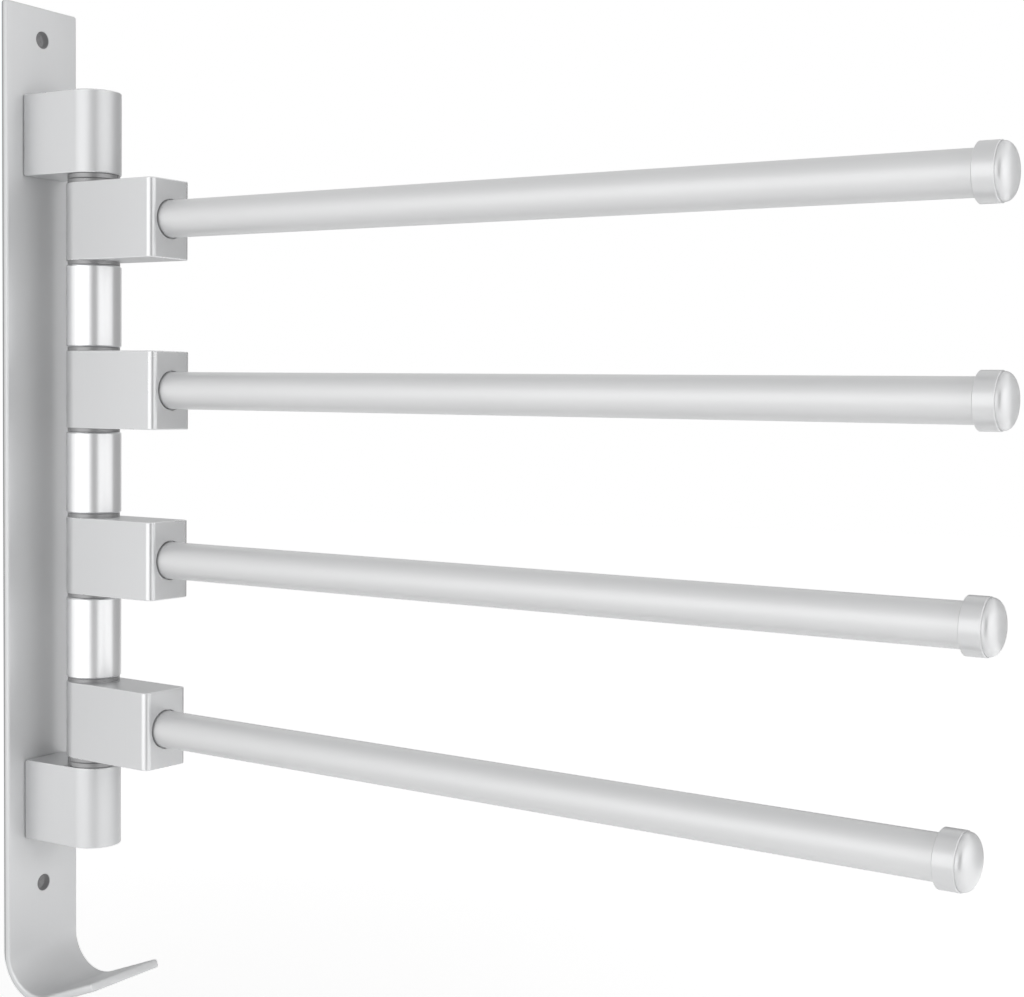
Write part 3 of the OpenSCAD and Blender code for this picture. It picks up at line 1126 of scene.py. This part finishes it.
# %% White and grey cards
def mirror_card(name, azimuth, elevation, distance, width, height, tone):
    """An even card that only mirrors know of: the camera and the lamps see past it."""
    shape = bmesh.new()
    bmesh.ops.create_grid(shape, x_segments=1, y_segments=1, size=0.5)
    place = stand(azimuth, elevation, distance) @ Matrix.Diagonal((width, height, 1, 1))
    bmesh.ops.transform(shape, matrix=place, verts=shape.verts)
    mesh = bpy.data.meshes.new(name)
    shape.to_mesh(mesh)
    shape.free()
    card = bpy.data.objects.new(name, mesh)
    card.visible_camera = False
    card.visible_diffuse = False
    card.visible_shadow = False
    bpy.context.scene.collection.objects.link(card)
    finish = Finish(name)
    glow = finish.node("ShaderNodeEmission", None, {"Strength": tone})
    mesh.materials.append(finish.end_in(glow))


# name, azimuth, elevation, distance, width, height, tone
CARDS = (
    ("card_left", 167, 5, 1.40, 1.35, 1.2, 1.60),
    ("card_front", 264, 8, 1.15, 1.15, 1.0, 1.12),
    ("card_camera", 221, 0, 1.2, 0.66, 1.6, 0.38),
    ("card_right", 345, 0, 1.3, 1.75, 1.6, 0.40),
    ("card_behind", 70, 0, 1.3, 2.6, 0.9, 0.50),
    ("card_above", 60, 70, 1.0, 2.0, 1.6, 0.90),
    ("card_below", 60, -70, 0.42, 1.2, 1.2, 0.95),
)
for row in CARDS:
    mirror_card(*row)

# %% [markdown]
# The floor is a pale disc well below the object, so the shadow that falls on it stays soft. The
# lamps reach only its middle. Further out it glows to the camera, more with the distance, until it
# is as white as the background, so no line shows where it ends. Mirrors see an even white in its
# place, and from below it is clear, for a view of the underside.

# %% The floor
floor_drop = 0.25
floor_r = 6.0
floor_white = 0.94
floor_steps = 96
FLOOR_TONES = ((0.93, 0.93, 0.93), (0.95, 0.95, 0.95))
floor_cloud = (3, 3, 3)
floor_in_mirrors = 1.1
glow_near = 0.45
glow_growth = 0.2
glow_far = 1 - floor_white * air_light


def one_sided(finish, shader):
    """Ends a finish that shows on a face's front and is clear from behind."""
    from_behind = finish.node("ShaderNodeNewGeometry", out="Backfacing")
    clear = finish.node("ShaderNodeBsdfTransparent")
    return finish.end_in(
        finish.node("ShaderNodeMixShader", None, {0: from_behind, 1: shader, 2: clear})
    )


def floor_finish():
    """A matt white that fades into the background, shown to the camera from above only."""
    finish = Finish("pale_floor")
    cloud = finish.pattern(floor_cloud)
    tone = finish.between(cloud, *FLOOR_TONES)
    matt = finish.node("ShaderNodeBsdfDiffuse", None, {"Color": tone})
    place = finish.node("ShaderNodeTexCoord", out="Object")
    away = finish.node("ShaderNodeVectorMath", {"operation": "LENGTH"}, {0: place}, out="Value")
    strength = finish.node(
        "ShaderNodeMath", {"operation": "MINIMUM"}, {0: away * glow_growth + glow_near, 1: glow_far}
    )
    glow = finish.node("ShaderNodeEmission", None, {"Strength": seen_directly(finish) * strength})
    lit = finish.node("ShaderNodeAddShader", None, {0: matt, 1: glow})
    mirrored = finish.node("ShaderNodeEmission", None, {"Strength": floor_in_mirrors})
    in_mirror = finish.node("ShaderNodeLightPath", out="Is Glossy Ray")
    upper = finish.node("ShaderNodeMixShader", None, {0: in_mirror, 1: lit, 2: mirrored})
    return one_sided(finish, upper)


def pale_floor():
    """A round floor under the object."""
    shape = bmesh.new()
    place = Matrix.Translation((0, 0, plate_low.z - floor_drop))
    bmesh.ops.create_circle(
        shape, cap_ends=True, segments=floor_steps, radius=floor_r, matrix=place
    )
    mesh = bpy.data.meshes.new("studio_floor")
    shape.to_mesh(mesh)
    shape.free()
    mesh.materials.append(floor_finish())
    floor = bpy.data.objects.new("studio_floor", mesh)
    bpy.context.scene.collection.objects.link(floor)


pale_floor()

# %% [markdown]
# Through the wall holes the photograph shows grey, and not its white background. A small grey card
# just behind each hole does the same here. It is clear from behind, so the holes stay open there.

# %% Grey behind the wall holes
shade_gap = 0.3 * MM
shade_r = 3.9 * MM
shade_steps = 32
shade_cloud = (700, 700, 700)
SHADE_TONES = ((0.13, 0.13, 0.133), (0.25, 0.25, 0.255))


def hole_shade(name, z):
    """A grey disc behind a wall hole, which only the camera sees."""
    shape = bmesh.new()
    to_room = Matrix.Rotation(math.radians(90), 4, "X")
    place = Matrix.Translation((0, shade_gap, z)) @ to_room
    bmesh.ops.create_circle(
        shape, cap_ends=True, segments=shade_steps, radius=shade_r, matrix=place
    )
    mesh = bpy.data.meshes.new(name)
    shape.to_mesh(mesh)
    shape.free()
    finish = Finish(name)
    cloud = finish.pattern(shade_cloud)
    grey = finish.between(cloud, *SHADE_TONES)
    glow = finish.node("ShaderNodeEmission", None, {"Color": grey, "Strength": 1.0})
    mesh.materials.append(one_sided(finish, glow))
    shade = bpy.data.objects.new(name, mesh)
    shade.visible_glossy = False
    shade.visible_diffuse = False
    shade.visible_transmission = False
    shade.visible_shadow = False
    bpy.context.scene.collection.objects.link(shade)


for name, side in (("shade_top", 1), ("shade_foot", -1)):
    hole_shade(name, side * wall_hole_z)

# %% [markdown]
# The camera stands to the left of the bars, a little above the middle of the stack, and looks
# down by some three degrees. Its place was worked out from the photograph: the known sizes of the
# plate, the stack and the bars have to land on the same points of the picture.

# %% The camera
picture_w = 1024
camera_place = Vector((-0.486023, -0.502186, 0.028641))
camera_azimuth = math.radians(-59.067)
camera_pitch = math.radians(-3.251)
camera_roll = math.radians(0.776)
focal_pixels = 1774.1
sensor = 36.0


def photo_camera():
    """The camera at the photograph's viewing angle."""
    data = bpy.data.cameras.new("photo_camera")
    data.sensor_width = sensor
    data.lens = focal_pixels / picture_w * sensor
    look = Vector((
        -math.sin(camera_azimuth) * math.cos(camera_pitch),
        math.cos(camera_azimuth) * math.cos(camera_pitch),
        math.sin(camera_pitch),
    ))
    right = Vector((math.cos(camera_azimuth), math.sin(camera_azimuth), 0))
    turn = Matrix((right, right.cross(look), -look)).transposed()
    camera = bpy.data.objects.new("photo_camera", data)
    roll = Matrix.Rotation(camera_roll, 3, "Z")
    camera.matrix_world = Matrix.Translation(camera_place) @ (turn @ roll).to_4x4()
    bpy.context.scene.collection.objects.link(camera)
    bpy.context.scene.camera = camera
    print(f"lens {data.lens:.1f} mm")


photo_camera()
bpy.context.scene.view_settings.view_transform = "Standard"
